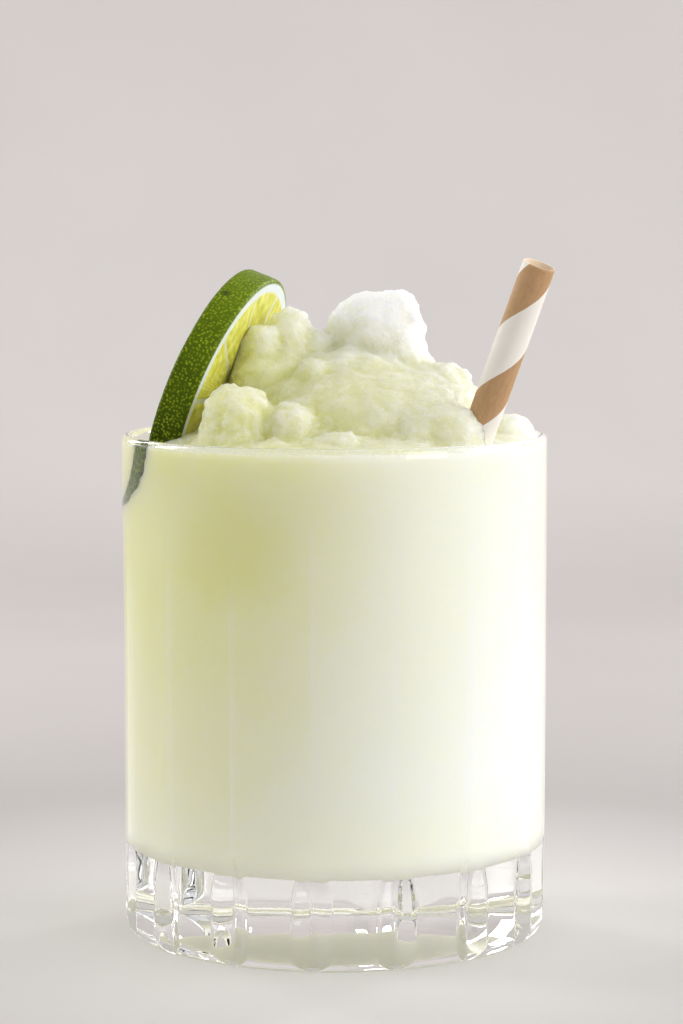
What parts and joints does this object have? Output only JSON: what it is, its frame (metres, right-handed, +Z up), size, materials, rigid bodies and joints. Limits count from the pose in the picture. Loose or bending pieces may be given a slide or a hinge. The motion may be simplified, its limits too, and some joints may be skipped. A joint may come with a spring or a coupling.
{
  "type": "frozen gin and tonic in a tumbler",
  "caption": "Lime slush heaped in a cut glass tumbler, with a lime wheel stuck in it and a spiral striped paper straw.",
  "frame": {"origin": "middle of the tumbler's foot, on the surface that it stands on", "axes": "+Z up along the tumbler's axis; -Y the front, with the lime wheel to the left (-X) and the straw to the right (+X)"},
  "size_m": [0.085, 0.085, 0.1358],
  "materials": {
    "clear_glass": "clear, polished",
    "lime_slush": "icy, translucent",
    "lime": "waxy rind, wet flesh",
    "striped_paper": "matt paper"
  },
  "bodies": {
    "root": {"tumbler": "clear_glass", "slush": "lime_slush", "lime_wheel": "lime", "straw": "striped_paper"}
  },
  "joints": []
}
